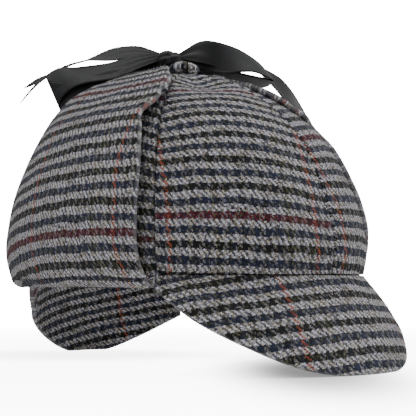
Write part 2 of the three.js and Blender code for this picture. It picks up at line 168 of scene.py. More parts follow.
class HatSizes(bpy.types.PropertyGroup):
    """Sizes of the crown, the peaks and the flaps."""

    half_width: length_property("Crown half width", 0.083, "Half the crown's width at the rim")
    half_length: length_property("Crown half length", 0.105, "Half the crown's length at the rim")
    height: length_property("Crown height", 0.1135, "Height of the crown over its rim")
    rim: length_property("Rim height", 0.047, "Height of the rim over the table")
    wall: length_property("Crown wall", 0.0024, "Thickness of the crown's cloth")
    seam_dip: length_property("Seam dip", 0.0013, "How far the crown dips in at each seam")
    seam_roll: length_property("Seam roll", 0.0015, "Radius of the cloth's turn into a seam")
    peak_wall: length_property("Peak thickness", 0.003, "Thickness of the stiffened peaks")
    flap_wall: length_property("Flap thickness", 0.003, "Thickness of the ear flaps")
    button: length_property("Button radius", 0.0088, "Radius of the covered button")


class TweedFinish(bpy.types.PropertyGroup):
    """Threads, colours and loose fibres of the tweed."""

    warp: length_property("Warp pitch", 0.000726, "Distance from one warp thread to the next")
    weft: length_property("Weft pitch", 0.000944, "Distance from one weft thread to the next")
    light: colour_property("Light grey", (0.76, 0.75, 0.775), "The light ground threads")
    navy: colour_property("Navy", (0.026, 0.036, 0.078), "The blue bands")
    dark: colour_property("Black green", (0.0065, 0.009, 0.0078), "The dark bands")
    wine: colour_property("Wine red", (0.16, 0.013, 0.034), "The red bands")
    rust: colour_property("Rust", (0.46, 0.12, 0.06), "The overcheck lines")
    olive: colour_property("Olive", (0.15, 0.15, 0.07), "The flecks in the yarn")
    fibre_length: length_property("Fibre length", 0.0013, "Length of the loose wool fibres")
    fibre_thickness: length_property("Fibre thickness", 0.00004, "Radius of a fibre at its root")


class RibbonFinish(bpy.types.PropertyGroup):
    """Width and colour of the ribbon."""

    width: length_property("Ribbon width", 0.022, "Width of the flat ribbon")
    thickness: length_property("Ribbon thickness", 0.0006, "Thickness of the ribbon")
    colour: colour_property("Ribbon colour", (0.004, 0.0043, 0.0052), "Colour of the ribbon")


def read_rows(rows, column, at):
    """A column of a table read on a smooth curve through its rows."""
    rows = np.array(rows, float)
    x, y = rows[:, 0], rows[:, column]
    at = np.clip(np.asarray(at, float), x[0], x[-1])
    i = np.clip(np.searchsorted(x, at, side="right") - 1, 0, len(x) - 2)
    before, after = np.maximum(i - 1, 0), np.minimum(i + 2, len(x) - 1)
    span = x[i + 1] - x[i]
    t = (at - x[i]) / span
    slope_in = (y[i + 1] - y[before]) / (x[i + 1] - x[before]) * span
    slope_out = (y[after] - y[i]) / (x[after] - x[i]) * span
    return (
        (2 * t**3 - 3 * t**2 + 1) * y[i]
        + (t**3 - 2 * t**2 + t) * slope_in
        + (3 * t**2 - 2 * t**3) * y[i + 1]
        + (t**3 - t**2) * slope_out
    )


def centripetal(points, at):
    """Points at shares of the way along a centripetal Catmull-Rom curve."""
    points = np.array(points, float)
    ends = [2 * points[0] - points[1], 2 * points[-1] - points[-2]]
    padded = np.vstack([ends[0], points, ends[1]])
    place = np.clip(at, 0, 1) * (len(points) - 1)
    i = np.minimum(place.astype(int), len(points) - 2)
    t = (place - i)[:, None]
    p0, p1, p2, p3 = (padded[i + k] for k in range(4))
    d0, d1, d2 = (
        np.maximum(np.linalg.norm(b - a, axis=1) ** 0.5, 1e-4)[:, None]
        for a, b in ((p0, p1), (p1, p2), (p2, p3))
    )
    m1 = ((p1 - p0) / d0 - (p2 - p0) / (d0 + d1) + (p2 - p1) / d1) * d1
    m2 = ((p2 - p1) / d1 - (p3 - p1) / (d1 + d2) + (p3 - p2) / d2) * d1
    return (
        p1
        + m1 * t
        + (-3 * p1 + 3 * p2 - 2 * m1 - m2) * t**2
        + (2 * p1 - 2 * p2 + m1 + m2) * t**3
    )


def profile_table():
    """The crown profile as shares along it with the reach and height at each."""
    p = CROWN_PROFILE
    places = np.linspace(0, len(p) - 1, 4001)
    i = np.minimum(places.astype(int), len(p) - 2)
    t = (places - i)[:, None]
    p0, p1, p2 = p[np.maximum(i - 1, 0)], p[i], p[i + 1]
    p0 = np.where((i == 0)[:, None], p[0], p0)
    p3 = p[np.minimum(i + 2, len(p) - 1)]
    v0, v1 = (p2 - p0) / 2, (p3 - p1) / 2
    cubic, square = 2 * p1 - 2 * p2 + v0 + v1, -3 * p1 + 3 * p2 - 2 * v0 - v1
    curve = cubic * t**3 + square * t**2 + v0 * t + p1
    run = np.concatenate([[0], np.cumsum(np.linalg.norm(np.diff(curve, axis=0), axis=1))])
    return run / run[-1], curve[:, 0], curve[:, 1]


ALONG, REACH, HEIGHT = profile_table()


def reach_at(along):
    return np.interp(along, ALONG, REACH)


def along_at_reach(reach):
    """The place along the profile where the crown has shrunk to a reach."""
    upper = ALONG >= 0.3
    return np.interp(-np.asarray(reach, float), -REACH[upper], ALONG[upper])


def relief(points, size, seed=0.0):
    """Soft noise from -1 to 1 at each point, with features of about the given size in mm."""
    flat = points.reshape(-1, 3) / size + seed
    values = np.array([noise.noise(p) for p in flat.tolist()])
    return values.reshape(points.shape[:-1])


def unit(vectors):
    return vectors / np.maximum(np.linalg.norm(vectors, axis=-1, keepdims=True), 1e-9)


class HatForm:
    """The crown's form, in millimetres, and the places of the pieces on it."""

    lean_side, lean_back = -3, 3
    front_reach, front_half_span = 28, 59.5
    back_reach, back_half_span, back_skew = 10, 45, 7
    peak_bow = 2
    flap_turn, flap_half_width = 97, 62
    fold_radius, tip_stand, tip_reach = 3.2, 1.2, 16.5
    button_height = 6.8
    knot_length, knot_height, knot_lift = 8, 7.5, 6.5
    knot_side, knot_back = 2, 14.5
    bow_turn = 49
    gap = 0.3

    def __init__(self, sizes):
        for key in HatSizes.__annotations__:
            setattr(self, key, getattr(sizes, key) / MM)
        self.centre_back = (self.front_reach - self.back_reach) / 2
        self.apex = self.form(np.array(0.0), np.array(1.0))
        self.seat = self.apex[2] + self.tip_stand + self.flap_wall
        self.knot = np.array([
            self.apex[0] + self.knot_side,
            self.apex[1] + self.knot_back,
            self.seat + self.knot_lift,
        ])
        low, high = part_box("bow_knot")
        middle = (np.array(low) + np.array(high)) / 2 / MM
        self.shift = np.array([middle[0] - self.knot[0], middle[1] - self.knot[1], 0])

    def form(self, turn, along):
        """A point of the smooth outer form before seams, dents and walls."""
        turn, along = np.broadcast_arrays(np.radians(turn), np.clip(along, 0, 1))
        reach, up = reach_at(along), np.interp(along, ALONG, HEIGHT)
        return np.stack([
            self.half_width * reach * np.sin(turn) + self.lean_side * up,
            self.centre_back - self.half_length * reach * np.cos(turn) + self.lean_back * up,
            self.rim + self.height * up,
        ], axis=-1)

    def normal(self, turn, along):
        step = 0.004
        low = np.clip(np.asarray(along, float) - step, 0, 0.97)
        up = self.form(turn, low + 2 * step) - self.form(turn, low)
        around = self.form(turn + 1, low + step) - self.form(turn - 1, low + step)
        return unit(np.cross(around, up))

    def dip(self, turn, along):
        across = np.mod(turn / 60, 1)
        dip = self.seam_dip * (1 - np.sin(math.pi * across)) * reach_at(np.clip(along, 0, 1))
        for at, place, spread, along_spread, depth in CROWN_DENTS:
            aside = (np.mod(turn - at + 540, 360) - 180) / spread
            over = (along - place) / along_spread
            dip = dip + depth * self.wall * np.exp(-(aside**2) - over**2)
        return dip

    def bridge(self, turn, along, offset):
        """A point off the smooth form, for the flaps that bridge its seams and dents."""
        turn, along = np.broadcast_arrays(np.asarray(turn, float), np.asarray(along, float))
        offset = np.broadcast_to(offset, turn.shape)
        return self.form(turn, along) + self.normal(turn, along) * offset[..., None]

    def cover_height(self, x, y):
        """Height of the crown with a flap's thickness on it."""
        lean = np.ones_like(x)
        for _ in range(6):
            across = (x - self.lean_side * lean) / self.half_width
            back = (y - self.centre_back - self.lean_back * lean) / self.half_length
            along = along_at_reach(np.minimum(np.hypot(across, back), 0.99))
            lean = np.interp(along, ALONG, HEIGHT)
            normal = self.normal(np.degrees(np.arctan2(across, -back)), along)
            puff = self.tip_stand + 2 * self.fold_radius * read_rows(FLAP_OUTLINE, 2, along)
            thick = (puff + self.flap_wall) / np.maximum(normal[..., 2], 0.35)
            height = self.rim + self.height * lean + thick
        return height


def clear_scene():
    """Removes cameras and lights from before."""
    for thing in list(bpy.data.objects):
        if thing.type in {"CAMERA", "LIGHT"}:
            bpy.data.objects.remove(thing, do_unlink=True)


def make_object(name, points, faces, uv, edge, outer=None):
    """An object at the origin from points in mm, with its cloth UV in metres.

    edge is each point's distance from a turned edge in mm, which sets the tweed's painted edge
    highlight; outer is 1 where wool fibres grow.
    """
    mesh = bpy.data.meshes.new(name)
    mesh.from_pydata((points * MM).tolist(), [], faces)
    mesh.validate()
    corners = np.empty(len(mesh.loops), np.int32)
    mesh.loops.foreach_get("vertex_index", corners)
    layer = mesh.uv_layers.new(name="cloth")
    layer.data.foreach_set("uv", (uv[corners] * MM).astype(np.float32).ravel())
    for key, values in (("edge", edge), ("outer", outer)):
        if values is not None:
            attribute = mesh.attributes.new(key, "FLOAT", "POINT")
            attribute.data.foreach_set("value", values.astype(np.float32))
    mesh.polygons.foreach_set("use_smooth", [True] * len(mesh.polygons))
    obj = bpy.data.objects.new(name, mesh)
    bpy.context.scene.collection.objects.link(obj)
    return obj


def shell(name, form, outer, inner, uv, edge):
    """A closed cloth wall between two grids of points, faces outwards."""
    rows, columns = outer.shape[:2]
    count = rows * columns
    points = np.concatenate([outer.reshape(-1, 3), inner.reshape(-1, 3)]) + form.shift
    grid = np.arange(count).reshape(rows, columns)
    a, b, c, d = grid[:-1, :-1], grid[:-1, 1:], grid[1:, 1:], grid[1:, :-1]
    front = np.stack([a, b, c, d], axis=-1).reshape(-1, 4)
    back = np.stack([a, d, c, b], axis=-1).reshape(-1, 4) + count
    loop = np.concatenate([grid[0, :-1], grid[:-1, -1], grid[-1, :0:-1], grid[:0:-1, 0]])
    after = np.roll(loop, -1)
    side = np.stack([after, loop, loop + count, after + count], axis=-1)
    faces = np.concatenate([front, back, side])
    sample = points[faces]
    normals = np.cross(sample[:, 2] - sample[:, 0], sample[:, 3] - sample[:, 1])
    volume = np.einsum("ij,ij->", sample.mean(axis=1) - points.mean(axis=0), normals)
    if volume < 0:
        faces = faces[:, ::-1]
    flat_uv = np.tile(uv.reshape(-1, 2), (2, 1))
    flat_edge = np.tile(edge.reshape(-1), 2)
    # Cloth that nearly touches the table grows no fibres.
    outside = np.repeat([1.0, 0.0], count) * (points[:, 2] > FIBRE_START)
    return make_object(name, points, faces.tolist(), flat_uv, flat_edge, outside)


def run_lengths(points, axis):
    """Distance run along an axis of a grid of points."""
    steps = np.linalg.norm(np.diff(points, axis=axis), axis=-1)
    zero = np.zeros_like(np.take(steps, [0], axis=axis))
    return np.concatenate([zero, np.cumsum(steps, axis=axis)], axis=axis)


def dress(piece, material, slot, *nodes):
    """Gives a piece its material, hides the solids it stands for and attaches it to its body. slot
    is not used.
    """
    if not len(piece.data.materials):
        piece.data.materials.append(material)
    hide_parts(*nodes)
    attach(piece, "root")


def crowded(last, count, edge_count):
    """Shares from 0 to 1, even up to the last one given and then crowded towards 1."""
    left = 1 - np.linspace(0, 1, edge_count + 1)[1:]
    return np.concatenate([np.linspace(0, last, count), 1 - (1 - last) * left**2])


def edge_spread(count):
    """Shares from 0 to 1 that crowd towards both ends."""
    return (1 - np.cos(np.linspace(0, math.pi, count))) / 2


def rolled(distance, radius):
    """How deep a cloth edge has rolled at a distance from its end, from radius down to 0."""
    inside = np.clip(radius - distance, 0, radius)
    return radius - np.sqrt(np.maximum(radius**2 - inside**2, 0))


def swell(distance, radius):
    """Share of the half thickness left at a distance from a rounded edge."""
    inside = np.clip(1 - distance / radius, 0, 1)
    return np.sqrt(np.maximum(1 - inside**2, 0.003))


GORE_CHECK = {
    "front_left": (7.7, 41.0), "side_left": (3.0, 20.0), "back_left": (-4.0, 12.0),
    "back_right": (15.0, 55.0), "side_right": (-20.0, 8.0), "front_right": (7.2, 0.0),
}
GORES = list(GORE_CHECK)


def gore_grids(form, index):
    """Outer and inner points, cloth UV and edge distance of one gore."""
    rows, columns = 110, 64
    top = along_at_reach(form.button / 2 / form.half_width)
    start, end = index * 60.0, (index + 1) * 60.0
    near_rim = [0, 0.0008, 0.002, 0.004, 0.0065, 0.01]
    along = np.concatenate([near_rim, np.linspace(0.016, 1, rows - len(near_rim))]) * top
    radius = reach_at(along) * form.half_width
    inset = np.degrees(form.gap / 2 / (radius - form.wall))[:, None]
    share = edge_spread(columns)[None, :]
    turn = start + inset + share * (end - start - 2 * inset)
    along_grid = np.broadcast_to(along[:, None], turn.shape)
    smooth = form.form(turn, along_grid)
    normals = form.normal(turn, along_grid)
    around = run_lengths(smooth, 1)
    width = around[:, -1:]
    seam = np.minimum(around, width - around)
    centre = form.form(np.full_like(along, (start + end) / 2), along)
    run = run_lengths(centre, 0)
    from_rim = np.broadcast_to(run[:, None], turn.shape)
    roll = rolled(seam, np.minimum(form.seam_roll, width / 3))
    rim_roll = rolled(from_rim, 0.5)
    pucker = 0.28 * np.exp(-seam / 7) * (1 - np.exp(-seam / 1.2)) * relief(smooth, 4.5, 3.1)
    uneven = 0.55 * relief(smooth, 26, 7.7) + 0.16 * relief(smooth, 9, 1.3)
    fade = 1 - np.exp(-(seam**2) / 18)
    lift = -form.dip(turn, along_grid) - np.maximum(roll, rim_roll) + pucker + uneven * fade
    outer = smooth + normals * lift[..., None]
    inner = smooth + normals * (-form.dip(turn, along_grid) - form.wall)[..., None]
    across = around - width / 2
    half = width[:, 0] / 2
    closing = np.maximum(-np.gradient(half, run), 0.0)
    bend = (closing / np.maximum(half, 1))[:, None]
    thread, band = GORE_CHECK[GORES[index]]
    u = across * (1 - (across * bend) ** 2 / 6) + thread
    v = from_rim + across**2 * bend / 2 + 0.045 * across + band
    # A narrow seam allowance laps under the next gore.
    allowance, under, thick = 3.0, 0.2, 0.6
    lap_width = np.minimum(allowance, 0.2 * width[:, 0])
    lap = np.stack([turn[:, -1], turn[:, -1] + np.degrees(lap_width / radius)], axis=1)
    base = form.form(lap, along_grid[:, :2])
    inward = -form.normal(lap, along_grid[:, :2])
    depth = form.dip(lap, along_grid[:, :2]) + form.wall + under
    outer = np.concatenate([outer, base + inward * depth[..., None]], axis=1)
    inner = np.concatenate([inner, base + inward * (depth + thick)[..., None]], axis=1)
    uv = np.stack([u, v], axis=-1)
    uv = np.concatenate([uv, uv[:, -1:], uv[:, -1:] + np.array([allowance, 0.0])], axis=1)
    return outer, inner, uv, np.full(uv.shape[:2], FAR_FROM_EDGE)


def ring_faces(grid, downward=False):
    """Quads between each ring of points and the next."""
    after = np.roll(grid, -1, axis=1)
    a, b, c, d = grid[:-1], after[:-1], after[1:], grid[1:]
    corners = (a, d, c, b) if downward else (a, b, c, d)
    return np.stack(corners, axis=-1).reshape(-1, 4).tolist()


def fan_faces(ring, middle):
    """Triangles from a ring of points to one point."""
    return [[int(here), int(after), middle] for here, after in zip(ring, np.roll(ring, -1))]


def button_mesh(form, name):
    """The covered button, domed, with its cloth gathered in under the edge."""
    sides, rings, under_rings = 96, 30, 7
    angle = np.linspace(0, 2 * math.pi, sides, endpoint=False)[None, :]
    share = np.linspace(0, 1, rings)[:, None]
    turn = share * math.pi * 0.5
    dome_radius = form.button * np.sin(turn) ** 0.75
    dome_height = form.button_height * (0.3 + 0.7 * np.cos(turn) ** 0.8)
    under = np.linspace(1.0, 0.6, under_rings + 1)[1:, None] ** 0.5
    radius = np.concatenate([dome_radius, form.button * under])
    drop = np.linspace(0, 1, under_rings + 1)[1:, None]
    height = np.concatenate([dome_height, form.button_height * 0.3 * (1 - 1.05 * drop)])
    gather = np.concatenate([np.clip((share - 0.55) / 0.45, 0, 1) ** 2, np.ones((under_rings, 1))])
    wave = np.sin(angle * 13 + 0.7 * np.sin(angle * 3)) * 0.26 + np.sin(angle * 7 + 1) * 0.14
    radius = radius * (1 + 0.02 * np.sin(angle * 2 + 1)) + wave * gather
    out = np.clip(radius / form.button, 0, 1)
    height = height + 0.35 * np.sin(angle * 2 + 0.5) * np.sin(out * 2.5)
    x, y = radius * np.cos(angle), radius * np.sin(angle)
    along = along_at_reach(np.clip(np.hypot(x, y) / form.half_length, 0, 0.3))
    floor = form.form(0.0, along)[..., 2] - form.apex[2] + form.gap
    z = np.maximum(height, floor)
    points = np.stack([x, y, z], axis=-1).reshape(-1, 3) + form.apex
    grid = np.arange(len(points)).reshape(-1, sides)
    faces = ring_faces(grid, downward=True) + fan_faces(grid[-1][::-1], len(points))
    points = np.concatenate([points, [form.apex + [0, 0, form.gap]]])
    x, y = points[:, 0], points[:, 1]
    uv = np.stack([x * 0.8 + y * 0.6, y * 0.8 - x * 0.6], axis=-1) + 4.0
    button = make_object(name, points + form.shift, faces, uv, np.full(len(points), FAR_FROM_EDGE))
    close_mesh(button)
    return button


def close_mesh(obj):
    """Merges doubled points and turns the faces out."""
    work = bmesh.new()
    work.from_mesh(obj.data)
    bmesh.ops.remove_doubles(work, verts=work.verts, dist=1e-6)
    bmesh.ops.recalc_face_normals(work, faces=work.faces)
    work.to_mesh(obj.data)
    work.free()


def peak_grids(form, middle, half_span, reach, edge_table, skew, fan, slant, scale, check):
    """Outer and inner points, cloth UV and edge distance of a peak.

    fan is its flat bend in degrees, slant the turn of its cloth, check the place of the pattern.
    """
    rows, columns, edge_rows = 64, 180, 12
    seam_height = form.rim - form.gap
    share = crowded(0.93, rows - edge_rows, edge_rows)
    aside = (edge_spread(columns) * 2 - 1) * half_span
    turn = middle + aside
    at = np.abs(aside - skew) / half_span
    rim = form.form(turn, 0.0)
    outward = form.normal(turn, np.zeros_like(turn))
    lift = -form.dip(turn, np.zeros_like(turn))
    seam = rim + outward * lift[:, None]
    seam[:, 2] = seam_height
    outward[:, 2] = 0
    outward = unit(outward)
    edge = seam + outward * (reach * read_rows(edge_table, 2, at))[:, None]
    edge[:, 2] = form.rim * np.maximum(1 - read_rows(edge_table, 1, at), 0)
    slope = edge - seam
    length = np.linalg.norm(slope, axis=1)
    face_up = outward * -slope[:, 2:3]
    face_up[:, 2] = np.einsum("ij,ij->i", slope, outward)
    face_up = unit(face_up)
    down = share[:, None, None]
    bulge = form.peak_bow * np.sin(math.pi * down) * np.minimum(length / form.rim, 1)[None, :, None]
    skin = seam[None] + slope[None] * down + face_up[None] * bulge
    uneven = 0.3 * relief(skin, 30, 2.2) * np.sin(math.pi * share)[:, None]
    skin = skin + face_up[None] * uneven[..., None]
    wall = form.wall + (form.peak_wall - form.wall) * np.minimum(share / 0.33, 1)[:, None]
    from_edge = (1 - share)[:, None] * length[None, :]
    around = run_lengths(seam[None], 1)[0]
    from_end = np.minimum(around, around[-1] - around)[None, :] + np.zeros_like(from_edge)
    distance = np.minimum(from_edge, from_end)
    half = outward[None] * (wall / 2)[..., None]
    mid = skin - half
    left = swell(distance, 1.6)[..., None]
    outer = mid + half * left
    inner = mid - half * left
    # The inner face starts lower, where the seam allowance turns up behind it.
    inner[0, :, 2] -= 1.2
    # A narrow seam allowance runs up behind the crown's lower edge.
    outer = np.concatenate([tuck(outward, seam, form.wall + 1.0, (2.2, -0.2)), outer])
    inner = np.concatenate([tuck(outward, seam, form.wall + 1.6, (2.2, -1.5)), inner])
    radius = around[-1] / math.radians(fan)
    angle = (around - around[-1] / 2)[None, :] / radius
    depth = share[:, None] * length[None, :]
    u = (radius + depth) * np.sin(angle)
    v = (radius + depth) * np.cos(angle) - radius
    u, v = u - slant * v, v + slant * u
    uv = np.stack([u + check[0], v * scale + check[1]], axis=-1)
    hidden = np.full((2, columns), FAR_FROM_EDGE)
    return outer, inner, np.concatenate([uv[:1], uv[:1], uv]), np.concatenate([hidden, distance])


def mirrored(grids, turned_at):
    """Turns the cloth over, so that its twill slants the other way."""
    outer, inner, uv, distance = grids
    return outer, inner, np.stack([turned_at - uv[..., 0], uv[..., 1]], axis=-1), distance


def tuck(outward, seam, depth, heights):
    """Rows of points inside the crown at two heights over the seam."""
    rows = np.stack([seam - outward * depth] * 2)
    rows[..., 2] += np.array(heights)[:, None]
    return rows


def flap_grids(form, side, flare, forward):
    """Outer and inner points, cloth UV and edge distance of an ear flap.

    flare is how far its front half stands off in mm, forward the extra width of that half.
    """
    tilt, curl, slant, scale = 0.083, 0.0011, 0.15, 1.2
    columns, fold_rows, along_rows, tip_rows = 90, 16, 110, 8
    back_fullness = 4.5
    tip = along_at_reach(form.tip_reach / form.half_width)
    spread = edge_spread(columns) * 2 - 1
    fold_height = form.rim - form.gap

    def turns(share):
        width = form.flap_half_width * read_rows(FLAP_OUTLINE, 1, share)
        reach_on = forward * np.clip(share / 0.15, 0, 1) * np.clip((0.75 - share) / 0.3, 0, 1)
        extra = (read_rows(FLAP_FRONT, 1, share) + reach_on)[:, None]
        front = 1 + extra * np.clip(-spread, 0, 1)[None, :]
        aside = width[:, None] * spread[None, :] * front
        reach = reach_at(tip * share)[:, None]
        return side * (form.flap_turn + np.degrees(np.arcsin(aside / (form.half_length * reach))))

    base = turns(np.zeros(1))
    angle = np.linspace(0, math.pi, fold_rows, endpoint=False)[:, None]
    rim = form.bridge(base, 0.0, 0.0)
    outward = form.normal(base, np.zeros_like(base))
    outward[..., 2] = 0
    outward = unit(outward)
    radius = form.fold_radius + form.flap_wall / 2
    fold = rim + outward * (form.fold_radius - radius * np.cos(angle))[..., None]
    fold = np.broadcast_to(fold, (fold_rows, columns, 3)).copy()
    fold[..., 2] = fold_height - radius * np.sin(angle)
    fold_out = outward * -np.cos(angle)[..., None]
    fold_out = np.broadcast_to(fold_out, fold.shape).copy()
    fold_out[..., 2] = -np.sin(angle)
    share = crowded(0.975, along_rows - tip_rows, tip_rows)
    opening = 2 * form.fold_radius - form.tip_stand
    stand = form.tip_stand + opening * read_rows(FLAP_OUTLINE, 2, share)
    turn = turns(share)
    along = np.broadcast_to((tip * share)[:, None], turn.shape)
    ahead = np.clip(-spread, 0, 1)[None, :] ** 1.5 * np.clip(share / 0.1, 0, 1)[:, None]
    ahead = ahead * np.clip((0.9 - share) / 0.3, 0, 1)[:, None]
    behind = np.clip(spread, 0, 1)[None, :] * np.exp(-(((share - 0.68) / 0.16) ** 2))[:, None]
    lift = (stand + form.flap_wall / 2)[:, None] + flare * ahead + back_fullness * behind
    middle = form.bridge(turn, along, lift)
    normals = form.normal(turn, along)
    mid = np.concatenate([fold, middle])
    out = np.concatenate([fold_out, normals])
    around = run_lengths(mid, 1)
    seam = np.minimum(around, around[:, -1:] - around)
    run = run_lengths(mid, 0)[:, columns // 2]
    tip_run = (run[-1] - run)[:, None]
    distance = np.minimum(seam, tip_run + 0 * seam)
    fade = np.clip(run / 30, 0, 1)[:, None]
    uneven = 0.8 * relief(mid, 32, 4.4) + 0.25 * relief(mid, 11, 9.2)
    ridge = 0.45 * np.exp(-(((distance - 3.2) / 2.2) ** 2))
    half = form.flap_wall / 2 * swell(distance, 1.7)
    mid = mid + out * (uneven * fade)[..., None]
    outer = mid + out * (half + ridge)[..., None]
    inner = mid - out * half[..., None]
    across = around - around[:, -1:] / 2
    rise = (run - run[fold_rows])[:, None]
    u = (across - slant * rise) * scale + 35.5
    v = rise + curl * across**2 + tilt * across + 7.1
    return outer, inner, np.stack([u, v], axis=-1), distance


def bow_axes(turn):
    """The directions along and across a turn of the bow in degrees, level with the table."""
    bow = math.radians(turn)
    ahead = np.array([math.sin(bow), -math.cos(bow), 0.0])
    far = np.array([math.cos(bow), math.sin(bow), 0.0])
    return ahead, far


def ribbon_grids(form, width, thickness, rows, length, heading, notch, cup, slant):
    """Outer and inner points, cloth UV and edge distance of a strip of ribbon, and its flat length.

    notch is the depth of the swallow-tail end, cup the bow across the strip, slant its skew.
    """
    columns, count, pleats = 15, 150, 2.5
    rows = np.array(rows, float)
    ahead = bow_axes(heading)[0]
    far = bow_axes(form.bow_turn)[1]
    places = (
        form.knot
        + (form.knot_length + form.gap + rows[:, 0:1] * length) * ahead
        + rows[:, 1:2] * width * far
    )
    places[:, 2] = form.seat + rows[:, 2] * width
    shape = np.column_stack([rows[:, 3:5], np.zeros(len(rows))])
    across = np.linspace(-0.5, 0.5, columns)
    share = np.linspace(0, 1, count)[:, None]
    end = 1 - notch * (1 - 2 * np.abs(across))[None, :]
    t = share * end
    flat_t = t.ravel()
    mid = centripetal(places, flat_t).reshape(t.shape + (3,))
    step = 1e-3
    low, high = np.clip(flat_t - step, 0, 1), np.clip(flat_t + step, 0, 1)
    tangent = unit((centripetal(places, high) - centripetal(places, low)).reshape(mid.shape))
    twist = centripetal(shape, flat_t).reshape(t.shape + (3,))
    lean, wide = np.radians(twist[..., 0]), np.clip(twist[..., 1], 0.3, 1)
    widthway = far * np.cos(lean)[..., None] + np.array([0, 0, 1.0]) * np.sin(lean)[..., None]
    skin = mid + widthway * (across[None, :] * wide * width)[..., None]
    face = unit(np.cross(tangent, widthway))
    gathered = np.sqrt(np.maximum(1 / wide - 1, 0))
    amplitude = wide * width / (math.pi * pleats) * gathered * 0.55
    pleat = amplitude * np.cos(2 * math.pi * pleats * across[None, :] + 0.6)
    middle = np.sin(math.pi * np.clip(t, 0, 1)) ** 0.6
    bow_out = cup * width * (0.25 - across[None, :] ** 2) * middle
    skin = skin + face * (pleat + bow_out)[..., None]
    pull = slant * width * across[None, :] * np.clip(t * 4, 0, 1) * np.clip((1 - t) * 4, 0, 1)
    skin = skin + ahead * pull[..., None]
    lowest = form.cover_height(skin[..., 0], skin[..., 1]) + form.gap + 0.5
    skin[..., 2] = np.maximum(skin[..., 2], lowest)
    half = thickness / 2
    run = run_lengths(skin, 0)[:, columns // 2]
    uv = np.stack(np.broadcast_arrays(across * width, run[:, None]), axis=-1)
    edge = (0.5 - np.abs(across))[None, :] * width + 0 * t
    return skin + face * half, skin - face * half, uv, edge, run[-1]


class Expression:
    """A node socket that can be used in arithmetic."""

    def __init__(self, board, socket):
        self.board, self.socket = board, socket

    def _math(self, operation, *others, flip=False):
        values = [self, *others]
        if flip:
            values = [others[0], self]
        return self.board.math(operation, *values)

    def __add__(self, other):
        return self._math("ADD", other)

    __radd__ = __add__

    def __sub__(self, other):
        return self._math("SUBTRACT", other)

    def __rsub__(self, other):
        return self._math("SUBTRACT", other, flip=True)

    def __mul__(self, other):
        return self._math("MULTIPLY", other)

    def __truediv__(self, other):
        return self._math("DIVIDE", other)

    def __lt__(self, other):
        return self._math("LESS_THAN", other)

    def __gt__(self, other):
        return self._math("GREATER_THAN", other)

    def __mod__(self, other):
        return self._math("FLOORED_MODULO", other)

    def __pow__(self, other):
        return self._math("POWER", other)

    def floor(self):
        return self._math("FLOOR")

    def fract(self):
        return self._math("FRACT")

    def sine(self):
        return self._math("SINE")

    def maximum(self, other):
        return self._math("MAXIMUM", other)

    def minimum(self, other):
        return self._math("MINIMUM", other)


class NodeBoard:
    """A node tree whose nodes are added by its methods."""

    def __init__(self, tree):
        self.tree = tree

    def node(self, kind, settings=None, **sockets):
        """A node of a type, its settings first and then the values or links of its sockets.

        A socket is given by its name, or by a letter and its number.
        """
        node = self.tree.nodes.new(kind)
        for key, value in (settings or {}).items():
            setattr(node, key, value)
        for key, value in sockets.items():
            place = int(key[1:]) if key[1:].isdigit() else key.replace("_", " ")
            self.put(node.inputs[place], value)
        return node

    def put(self, socket, value):
        if isinstance(value, Expression):
            self.tree.links.new(value.socket, socket)
        else:
            socket.default_value = value

    def out(self, node, name=0):
        return Expression(self, node.outputs[name])

    def math(self, operation, *values):
        node = self.tree.nodes.new("ShaderNodeMath")
        node.operation = operation
        for socket, value in zip(node.inputs, values):
            self.put(socket, value)
        return self.out(node)


class MaterialBoard(NodeBoard):
    """A new material and the nodes that several finishes share."""

    def __init__(self, name):
        self.material = bpy.data.materials.new(name)
        self.material.use_nodes = True
        super().__init__(self.material.node_tree)
        self.tree.nodes.clear()

    def mix(self, factor, first, second, blend="MIX"):
        """A blend of two colours."""
        node = self.node("ShaderNodeMix", {"data_type": "RGBA", "blend_type": blend}, _0=factor)
        for socket, value in ((node.inputs[6], first), (node.inputs[7], second)):
            self.put(socket, value if isinstance(value, Expression) else (*value, 1.0))
        return self.out(node, 2)

    def vector(self, x, y):
        return self.out(self.node("ShaderNodeCombineXYZ", X=x, Y=y))

    def noise(self, place, scale, detail, roughness=0.5):
        """Soft noise over the flat cloth."""
        return self.node(
            "ShaderNodeTexNoise", {"noise_dimensions": "2D"},
            Vector=place, Scale=scale, Detail=detail, Roughness=roughness,
        )

    def draw(self, **seed):
        """A random value for each whole W or Vector."""
        kind = "1D" if "W" in seed else "2D"
        return self.out(self.node("ShaderNodeTexWhiteNoise", {"noise_dimensions": kind}, **seed))

    def cloth(self):
        """The place on the flat cloth in metres, with its two parts."""
        place = self.out(self.node("ShaderNodeUVMap", {"uv_map": "cloth"}))
        split = self.node("ShaderNodeSeparateXYZ", Vector=place)
        return place, self.out(split, "X"), self.out(split, "Y")

    def finish(self, **sockets):
        shader = self.node("ShaderNodeBsdfPrincipled", **sockets)
        self.node("ShaderNodeOutputMaterial", Surface=self.out(shader))
        return self.material


